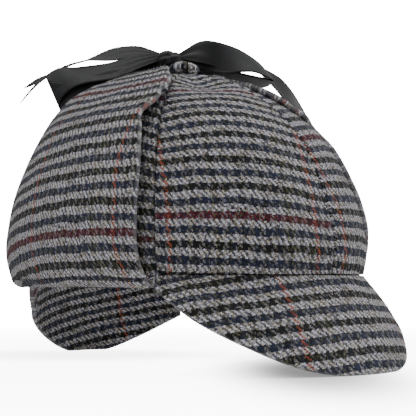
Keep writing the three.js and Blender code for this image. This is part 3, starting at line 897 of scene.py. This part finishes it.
def wool_tree():
    """Geometry Nodes that stand short bent wool fibres on the outer face of a piece."""
    tree = bpy.data.node_groups.new("wool_fibres", "GeometryNodeTree")
    for name, way, kind in (
        ("Geometry", "INPUT", "Geometry"), ("Density", "INPUT", "Float"),
        ("Length", "INPUT", "Float"), ("Thickness", "INPUT", "Float"),
        ("Seed", "INPUT", "Int"), ("Wool", "INPUT", "Material"), ("Geometry", "OUTPUT", "Geometry"),
    ):
        tree.interface.new_socket(name, in_out=way, socket_type="NodeSocket" + kind)
    board = NodeBoard(tree)
    given = board.node("NodeGroupInput")
    piece, seed = board.out(given, "Geometry"), board.out(given, "Seed")
    outer = board.node("GeometryNodeInputNamedAttribute", {"data_type": "FLOAT"}, Name="outer")
    points = board.node(
        "GeometryNodeDistributePointsOnFaces", {"distribute_method": "RANDOM"},
        Mesh=piece, Density=board.out(given, "Density") * board.out(outer, "Attribute"), Seed=seed,
    )
    cone = board.node(
        "GeometryNodeMeshCone", {"fill_type": "NGON"}, Vertices=3, Side_Segments=2, Radius_Top=0.0,
        Radius_Bottom=board.out(given, "Thickness"), Depth=board.out(given, "Length"),
    )
    place = board.out(board.node("GeometryNodeInputPosition"))
    height = board.out(board.node("ShaderNodeSeparateXYZ", Vector=place), "Z")
    offset = board.node("ShaderNodeCombineXYZ", X=height * height * FIBRE_BEND)
    straight = board.out(cone, "Mesh")
    fibre = board.node("GeometryNodeSetPosition", Geometry=straight, Offset=board.out(offset))
    most = (FIBRE_LEAN, FIBRE_LEAN, FIBRE_TURN)
    lean = board.node(
        "FunctionNodeRandomValue", {"data_type": "FLOAT_VECTOR"},
        _0=tuple(-angle for angle in most), _1=most, Seed=seed,
    )
    rotation = board.node(
        "FunctionNodeRotateRotation", {"rotation_space": "LOCAL"},
        Rotation=board.out(points, "Rotation"), _1=board.out(lean),
    )
    stand = board.node(
        "GeometryNodeInstanceOnPoints", Points=board.out(points, "Points"),
        Instance=board.out(fibre), Rotation=board.out(rotation),
    )
    real = board.node("GeometryNodeRealizeInstances", Geometry=board.out(stand))
    joined = board.node("GeometryNodeJoinGeometry", Geometry=board.out(real))
    board.put(joined.inputs[0], piece)
    wool = board.out(given, "Wool")
    finished = board.node("GeometryNodeSetMaterial", Geometry=board.out(joined), Material=wool)
    board.put(board.node("NodeGroupOutput").inputs[0], board.out(finished))
    return tree


def grow_wool(piece, material, seed):
    """Adds the fibres to a piece as plain mesh."""
    tree = bpy.data.node_groups.get("wool_fibres") or wool_tree()
    finish = bpy.context.scene.hat_tweed
    modifier = piece.modifiers.new("wool", "NODES")
    modifier.node_group = tree
    values = {
        "Density": FIBRE_DENSITY, "Length": finish.fibre_length,
        "Thickness": finish.fibre_thickness, "Seed": seed, "Wool": material,
    }
    for item in tree.interface.items_tree:
        if item.item_type == "SOCKET" and item.in_out == "INPUT" and item.name in values:
            modifier[item.identifier] = values[item.name]
    piece.update_tag()
    graph = bpy.context.evaluated_depsgraph_get()
    mesh = bpy.data.meshes.new_from_object(piece.evaluated_get(graph), depsgraph=graph)
    piece.modifiers.remove(modifier)
    bare = piece.data
    piece.data = mesh
    if len(mesh.polygons) == len(bare.polygons):
        raise RuntimeError("no fibres on " + piece.name)
    bpy.data.meshes.remove(bare)
    mesh.name = piece.name


def tweed_material(name, finish):
    """Two-and-two twill in banded wefts over a checked warp, with rust overcheck lines."""
    board = MaterialBoard(name)
    place, u, v = board.cloth()
    for scale, detail, across, along in THREAD_WANDER:
        wander = board.out(board.noise(place, scale, detail), "Color")
        aside = board.node("ShaderNodeSeparateColor", Color=wander)
        u = u + (board.out(aside, 0) - 0.5) * across
        v = v + (board.out(aside, 1) - 0.5) * along
    x, y = u / finish.warp + 4000.0, v / finish.weft + 4000.0
    column, row = x.floor(), y.floor()
    in_x, in_y = x.fract(), y.fract()
    warp_up = ((column + row) % 4.0) < 1.9
    # One random value for each thread, and two for each place where two threads cross.
    yarn_u, yarn_v = board.draw(W=column), board.draw(W=row + 0.5)
    fleck = board.draw(Vector=board.vector(column, row))
    hue = board.draw(Vector=board.vector(row, column))

    light, navy, dark = tuple(finish.light), tuple(finish.navy), tuple(finish.dark)
    band = row % BAND_REPEAT
    is_navy = (band > 3.5) * (band < 7.5)
    is_dark = band > 11.5
    wine_place = row % WINE_REPEAT
    is_wine = (wine_place > 91.5) * (wine_place < 95.5)
    weft = board.mix(is_navy, light, navy)
    weft = board.mix(is_dark, weft, dark)
    weft = board.mix(is_wine, weft, tuple(finish.wine))
    mid = tuple(0.36 * c for c in light)
    warp = board.mix((column % (BAND_REPEAT / 2)) > 3.5, mid, dark)
    warp = board.mix(((column % BAND_REPEAT) > 11.5) * 0.8, warp, navy)
    over = column % RUST_REPEAT
    is_rust = (over > 1.5) * (over < 4.5)
    warp = board.mix(is_rust, warp, tuple(finish.rust))
    olive_thread = (yarn_u > 0.86) * (1 - is_rust)
    warp = board.mix(olive_thread * 0.75, warp, tuple(finish.olive))
    colour = board.mix(warp_up * (0.84 + is_rust * 0.06), weft, warp)
    # Yarn is uneven: odd crossings carry an olive, blue or pale fibre.
    colour = board.mix(hue < 0.3, colour, (1.0, 0.9, 0.72), "MULTIPLY")
    colour = board.mix(hue > 0.7, colour, (0.9, 0.88, 1.0), "MULTIPLY")
    colour = board.mix((fleck > 0.94) * 0.5, colour, tuple(finish.olive))
    colour = board.mix((fleck < 0.1) * 0.75, colour, tuple(finish.dark))
    colour = board.mix((fleck > 0.45) * (fleck < 0.48) * 0.2, colour, light)
    fuzz = board.out(board.noise(board.vector(u + v, v * 0.6), 2600.0, 3.0, 0.65), "Fac")
    across_warp = 1 - (in_x * 2 - 1) ** 2.0
    across_weft = 1 - (in_y * 2 - 1) ** 2.0
    round_thread = across_warp * warp_up + across_weft * (1 - warp_up)
    clump = board.noise(board.vector(u * 1.5 + v * 0.7, v - u * 0.5), 1150.0, 2.0, 0.7)
    tuft = board.out(clump, "Fac") - 0.5
    # Painted shade: each thread is painted lighter along its middle and darker toward its sides, as
    # round threads shade; fuzz, yarn, hue and tufts vary the tone at random.
    tone = 0.56 + round_thread * 0.3 + (fuzz - 0.5) * 1.1 + (yarn_v - 0.5) * 0.16
    tone = tone + (hue - 0.5) * 0.55 + tuft * 3.4
    tone = tone.maximum(0.12).minimum(1.3)
    grey = board.node("ShaderNodeCombineColor", Red=tone, Green=tone, Blue=tone)
    colour = board.mix(1.0, colour, board.out(grey), "MULTIPLY")
    # Painted highlight: cloth is painted paler along the turned edges of the peaks and flaps, where
    # their rolled edges catch the light.
    edge = board.out(board.node("ShaderNodeAttribute", {"attribute_name": "edge"}), "Fac")
    painted_edge_highlight = (1 - edge / 1.6).maximum(0.0) * 0.35
    colour = board.mix(painted_edge_highlight, colour, tuple(0.55 * c for c in light))
    height = round_thread * 0.6 + fuzz * 0.9
    bump = board.node("ShaderNodeBump", Strength=0.85, Distance=0.0006, Height=height)
    return board.finish(
        Base_Color=colour, Roughness=0.95, Normal=board.out(bump, "Normal"),
        Sheen_Weight=0.08, Sheen_Roughness=0.5, Specular_IOR_Level=0.1,
    )


def ribbon_material(name, finish):
    """Fine-ribbed black ribbon with a soft sheen."""
    board = MaterialBoard(name)
    place, u, v = board.cloth()
    rib_pitch, thread_pitch = 0.0005, 0.0004
    rib = (v * (2 * math.pi / rib_pitch)).sine() * 0.5 + 0.5
    thread = (u * (2 * math.pi / thread_pitch)).sine() * 0.5 + 0.5
    cloud = board.out(board.noise(place, 160.0, 3.0), "Fac")
    lint = board.out(board.noise(place, 3000.0, 2.0), "Fac")
    base = tuple(finish.colour)
    paler = tuple(c * 1.8 for c in base)
    # Painted shade: the ribbon is painted paler along the crest of each rib and darker between
    # ribs; lint and cloud vary the colour at random.
    colour = board.mix((rib * 0.3 + lint * 0.3 + cloud * 0.2).minimum(1.0), base, paler)
    rough = 0.42 + cloud * 0.14 + lint * 0.08
    height = rib * 0.5 + thread * 0.2 + lint * 0.5
    bump = board.node("ShaderNodeBump", Strength=0.35, Distance=0.0001, Height=height)
    return board.finish(
        Base_Color=colour, Roughness=rough, Normal=board.out(bump, "Normal"),
        Sheen_Weight=0.05, Sheen_Roughness=0.3, Specular_IOR_Level=0.2,
    )


def material_named(name, maker, finish):
    return bpy.data.materials.get(name) or maker(name, finish)


class HatOperator(bpy.types.Operator):
    """Shared by the hat's operators."""

    bl_options = {"REGISTER"}

    def form(self):
        return HatForm(bpy.context.scene.hat_sizes)


class HAT_OT_crown(HatOperator):
    """Six gores with rolled seams, and the covered button."""

    bl_idname = "hat.crown"
    bl_label = "Crown"

    def execute(self, context):
        form = self.form()
        tweed = material_named("woven_tweed", tweed_material, context.scene.hat_tweed)
        for index, place in enumerate(GORES):
            outer, inner, uv, edge = gore_grids(form, index)
            piece = shell("gore_" + place, form, outer, inner, uv, edge)
            grow_wool(piece, tweed, index)
            dress(piece, tweed, "tweed", "crown_gore_" + place)
        button = button_mesh(form, "covered_button")
        dress(button, tweed, "tweed", "top_button")
        return {"FINISHED"}


class HAT_OT_peaks(HatOperator):
    """The front and back peaks with rounded edges."""

    bl_idname = "hat.peaks"
    bl_label = "Peaks"

    def execute(self, context):
        form = self.form()
        tweed = material_named("woven_tweed", tweed_material, context.scene.hat_tweed)
        front = peak_grids(
            form, 0, form.front_half_span, form.front_reach, FRONT_PEAK_EDGE,
            skew=0, fan=40, slant=0.022, scale=1.0, check=(0.2, 46.85),
        )
        back = peak_grids(
            form, 180, form.back_half_span, form.back_reach, BACK_PEAK_EDGE,
            skew=-form.back_skew, fan=2, slant=-0.22, scale=1.218, check=(-7.0, 34.3),
        )
        front = mirrored(front, PEAK_TURNED_AT)
        for side, seed, grids in (("front", 20, front), ("back", 19, back)):
            piece = shell("peak_" + side, form, *grids)
            grow_wool(piece, tweed, seed)
            dress(piece, tweed, "tweed", side + "_peak")
        return {"FINISHED"}


class HAT_OT_flaps(HatOperator):
    """The two folded-up ear flaps."""

    bl_idname = "hat.flaps"
    bl_label = "Ear flaps"

    def execute(self, context):
        form = self.form()
        tweed = material_named("woven_tweed", tweed_material, context.scene.hat_tweed)
        left = flap_grids(form, 1, flare=3.2, forward=0.13)
        right = mirrored(flap_grids(form, -1, flare=1.5, forward=0.0), FLAP_TURNED_AT)
        for side, seed, grids in (("left", 21, left), ("right", 19, right)):
            piece = shell("flap_" + side, form, *grids)
            grow_wool(piece, tweed, seed)
            dress(piece, tweed, "tweed", "ear_flap_" + side)
        return {"FINISHED"}


class HAT_OT_bow(HatOperator):
    """The knot, its loops and tails and the gathered ties."""

    bl_idname = "hat.bow"
    bl_label = "Ribbon bow"

    def execute(self, context):
        form = self.form()
        finish = context.scene.hat_ribbon
        black = material_named("black_ribbon", ribbon_material, finish)
        width, thickness = finish.width / MM, finish.thickness / MM
        # Name, table, length, heading, notch, cup and slant of each strip.
        strips = [
            ("loop_front", FRONT_LOOP, 46, form.bow_turn, 0.0, 0.05, 0.0),
            ("loop_back", BACK_LOOP, 58, form.bow_turn - 180, 0.0, -0.05, 0.4),
            ("tail_front", FRONT_TAIL, 73, form.bow_turn, 0.2, 0.08, 0.0),
            ("tail_back", BACK_TAIL, 80, form.bow_turn - 180, 0.16, 0.1, 0.0),
        ]
        for name, *shape in strips:
            *grids, run = ribbon_grids(form, width, thickness, *shape)
            strip = shell("ribbon_" + name, form, *grids)
            dress(strip, black, "ribbon", "bow_" + name)
        dress(knot_mesh(form, "ribbon_knot"), black, "ribbon", "bow_knot")
        for side, name in ((1, "left"), (-1, "right")):
            dress(tie_mesh(form, side, "ribbon_tie_" + name), black, "ribbon", "flap_tie_" + name)
        return {"FINISHED"}


def capped_tube(name, form, rings, uv):
    """A closed tube from rings of points, with a point at the middle of each end."""
    count, sides = rings.shape[:2]
    first, last = count * sides, count * sides + 1
    grid = np.arange(first).reshape(count, sides)
    faces = ring_faces(grid) + fan_faces(grid[0][::-1], first) + fan_faces(grid[-1], last)
    points, flat = (
        np.concatenate([values.reshape(first, -1), values[[0, -1]].mean(axis=1)])
        for values in (rings, uv)
    )
    obj = make_object(name, points + form.shift, faces, flat, np.full(len(points), FAR_FROM_EDGE))
    close_mesh(obj)
    return obj


def knot_mesh(form, name):
    """The knot: a band of ribbon pulled tight round the bow's middle, creased along its wrap."""
    ahead, far = bow_axes(form.bow_turn)
    up = np.array([0, 0, 1.0])
    along = np.sin(np.linspace(-math.pi / 2, math.pi / 2, 40))[:, None]
    around = np.linspace(0, 2 * math.pi, 96, endpoint=False)[None, :]
    lowered, flatness = 1.0, 0.78
    body = (1 - np.abs(along) ** 2.6) ** 0.42
    twist = around + 0.55 * along
    crease = 0.5 * np.sin(4 * twist + 0.8) * (1 - along**2) + 0.32 * np.sin(9 * twist - 1.5 * along)
    ridge = -0.9 * np.exp(-(((along - 0.35 * np.sin(around + 0.6)) / 0.13) ** 2))
    radius_far = (form.knot_length + crease + ridge) * body
    radius_up = (flatness * form.knot_height + 0.9 * (crease + ridge)) * body
    squeeze = 1 + 0.1 * np.sin(2 * around + 0.4)
    points = (
        form.knot
        - lowered * up
        + (along * form.knot_length)[..., None] * ahead
        + (radius_far * np.cos(around) * squeeze)[..., None] * far
        + (radius_up * np.sin(around))[..., None] * up
    )
    uv = np.stack([along * 9 + 0 * around, around * 7.5 + 0 * along], axis=-1)
    return capped_tube(name, form, points, uv)


def tie_mesh(form, side, name):
    """The gathered end of ribbon from a flap's tip to the knot."""
    tip = along_at_reach(form.tip_reach / form.half_width)
    turn = np.array(side * form.flap_turn, float)
    start = form.bridge(turn, tip, form.tip_stand + form.flap_wall / 2)
    to_knot = form.knot - start
    to_knot[2] = 0
    to_knot = unit(to_knot)
    end = form.knot - to_knot * (form.knot_length * 0.75)
    end[2] = form.knot[2] - form.knot_lift + 1.6
    share = np.linspace(0, 1, 30)[:, None]
    around = np.linspace(0, 2 * math.pi, 48, endpoint=False)[None, :]
    spine = start + (end - start) * share[..., None]
    up = np.array([0, 0, 1.0])
    sideways = unit(np.cross(up, to_knot))
    half_width, half_height, raised = 2.3, 1.0, 0.3
    pinch = 1 - 0.25 * np.sin(math.pi * share)
    fold = 1 + 0.28 * np.sin(5 * around + 1.2 * share) + 0.1 * np.sin(9 * around)
    points = (
        spine
        + (half_width * pinch * fold * np.cos(around))[..., None] * sideways
        + (half_height * pinch * fold * np.sin(around) + raised)[..., None] * up
    )
    uv = np.stack([around * 3 + 0 * share, share * 12 + 0 * around], axis=-1)
    return capped_tube(name, form, points, uv)


# The soft shade on the floor under each peak, in metres: place to the camera's right, place toward
# the camera, half width, half depth and strength.
FLOOR_SHADES = [(0.053, 0.075, 0.044, 0.13, 0.97), (-0.075, -0.05, 0.085, 0.05, 0.4)]


class HAT_OT_stage(HatOperator):
    """Pale floor, soft lights and the camera."""

    bl_idname = "hat.stage"
    bl_label = "Stage"

    def execute(self, context):
        form = self.form()
        clear_scene()
        turn = math.radians(CAMERA_TURN)
        back = Vector((math.sin(turn), -math.cos(turn), 0))
        right = Vector((math.cos(turn), math.sin(turn), 0))
        up = Vector((0, 0, 1))
        self.floor(back, right)
        self.sky()
        for name, place, aim, size, power in (
            ("overhead", Vector((0, 0.05, 1.1)), (0, 0, 0), 1.3, 8),
            ("front_left", back * 1.1 - right * 0.9 + up * 0.75, (0, 0, 0.08), 0.9, 3.9),
            ("right_rim", right * 1.2 - back * 0.5 + up * 0.8, (0, 0, 0.12), 0.7, 12),
            ("low_fill", back * 1.5 + up * 0.1, (0, 0, 0.03), 0.8, 2.6),
            ("floor_glow", Vector((-0.01, -0.03, 0.012)), (-0.06, 0.1, 0.04), 0.12, 0.1),
        ):
            self.light(name, place, aim, size, power)
        self.camera(form, back, right)
        return {"FINISHED"}

    def floor(self, back, right):
        """A square of floor, 30 m each way from the hat."""
        mesh = bpy.data.meshes.new("floor")
        far = 30.0
        mesh.from_pydata(
            [(-far, -far, 0), (far, -far, 0), (far, far, 0), (-far, far, 0)], [], [(0, 1, 2, 3)]
        )
        floor = bpy.data.objects.new("floor", mesh)
        bpy.context.scene.collection.objects.link(floor)
        floor.data.materials.append(self.floor_material(back, right))

    def sky(self):
        """An even white sky, brighter to the camera than to the hat."""
        world = bpy.data.worlds.new("studio")
        bpy.context.scene.world = world
        world.use_nodes = True
        board = NodeBoard(world.node_tree)
        background = world.node_tree.nodes["Background"]
        background.inputs["Color"].default_value = (1, 1, 1, 1)
        seen = board.out(board.node("ShaderNodeLightPath"), "Is Camera Ray")
        bright = board.math("MULTIPLY_ADD", seen, SKY_SEEN, SKY_LIGHT)
        board.put(background.inputs["Strength"], bright)

    def floor_material(self, back, right):
        """Pale floor that brightens into the white sweep behind it, with shadow painted into its
        glow under each peak.
        """
        board = MaterialBoard("floor_pale")
        place = board.out(board.node("ShaderNodeTexCoord"), "Object")
        far = board.node("ShaderNodeVectorMath", {"operation": "LENGTH"}, Vector=place)
        fade = board.node(
            "ShaderNodeMapRange", {"interpolation_type": "SMOOTHSTEP"},
            Value=board.out(far, "Value"), From_Min=0.16, From_Max=0.75,
            To_Min=9.0, To_Max=SKY_SEEN,
        )
        seen = board.out(board.node("ShaderNodeLightPath"), "Is Camera Ray")
        split = board.node("ShaderNodeSeparateXYZ", Vector=place)
        x, y = board.out(split, "X"), board.out(split, "Y")
        for aside, near, half_width, half_depth, depth in FLOOR_SHADES:
            across = x * right.x + y * right.y - aside
            toward = x * back.x + y * back.y - near
            spread = (across / half_width) ** 2.0 + (toward / half_depth) ** 2.0
            seen = seen * (1 - board.math("EXPONENT", spread * spread * -1.0) * depth)
        return board.finish(
            Base_Color=(0.86, 0.86, 0.865, 1), Roughness=0.7, Specular_IOR_Level=0.1,
            Emission_Color=board.out(fade) * seen, Emission_Strength=1.0,
        )

    def light(self, name, place, aim, size, power):
        """A round soft light, its size in metres and its power in watts."""
        data = bpy.data.lights.new(name, "AREA")
        data.shape, data.size, data.energy = "DISK", size, power
        lamp = bpy.data.objects.new(name, data)
        bpy.context.scene.collection.objects.link(lamp)
        lamp.location = place
        lamp.rotation_euler = (Vector(aim) - Vector(place)).to_track_quat("-Z", "Y").to_euler()

    def camera(self, form, back, right):
        """The camera at the photograph's place, level with the rim and turned up a little."""
        yaw, pitch = math.atan(AIM_LEFT / FOCAL_PIXELS), math.atan(AIM_BELOW / FOCAL_PIXELS)
        middle = (form.shift[0] * MM, (form.centre_back + form.shift[1]) * MM)
        place = Vector((*middle, CAMERA_HEIGHT)) + back * CAMERA_DISTANCE
        level = right * math.sin(yaw) - back * math.cos(yaw)
        look = level * math.cos(pitch) + Vector((0, 0, math.sin(pitch)))
        side = look.cross(Vector((0, 0, 1))).normalized()
        up = side.cross(look)
        data = bpy.data.cameras.new("camera")
        data.sensor_width = SENSOR_WIDTH
        data.lens = FOCAL_PIXELS / PHOTO_WIDTH * SENSOR_WIDTH
        data.clip_start, data.clip_end = 0.01, 100
        camera = bpy.data.objects.new("camera", data)
        bpy.context.scene.collection.objects.link(camera)
        camera.matrix_world = Matrix((
            (side.x, up.x, -look.x, place.x),
            (side.y, up.y, -look.y, place.y),
            (side.z, up.z, -look.z, place.z),
            (0, 0, 0, 1),
        ))
        bpy.context.scene.camera = camera


class HAT_PT_panel(bpy.types.Panel):
    """Sizes, colours and the making of the hat."""

    bl_idname = "HAT_PT_panel"
    bl_label = "Deerstalker hat"
    bl_space_type = "VIEW_3D"
    bl_region_type = "UI"
    bl_category = "Hat"

    def draw(self, context):
        layout = self.layout
        for group in ("hat_sizes", "hat_tweed", "hat_ribbon"):
            owner = getattr(context.scene, group)
            box = layout.box()
            for key in owner.__annotations__:
                box.prop(owner, key)
        for operator in OPERATORS:
            layout.operator(operator.bl_idname)


GROUPS = {"hat_sizes": HatSizes, "hat_tweed": TweedFinish, "hat_ribbon": RibbonFinish}
OPERATORS = [HAT_OT_crown, HAT_OT_peaks, HAT_OT_flaps, HAT_OT_bow, HAT_OT_stage]
CLASSES = [*GROUPS.values(), *OPERATORS, HAT_PT_panel]


def register():
    for cls in CLASSES:
        bpy.utils.register_class(cls)
    for name, group in GROUPS.items():
        setattr(bpy.types.Scene, name, bpy.props.PointerProperty(type=group))


def unregister():
    for name in GROUPS:
        delattr(bpy.types.Scene, name)
    for cls in reversed(CLASSES):
        bpy.utils.unregister_class(cls)


def main():
    register()
    bpy.ops.hat.crown()
    bpy.ops.hat.peaks()
    bpy.ops.hat.flaps()
    bpy.ops.hat.bow()
    bpy.ops.hat.stage()


if __name__ == "__main__":
    main()
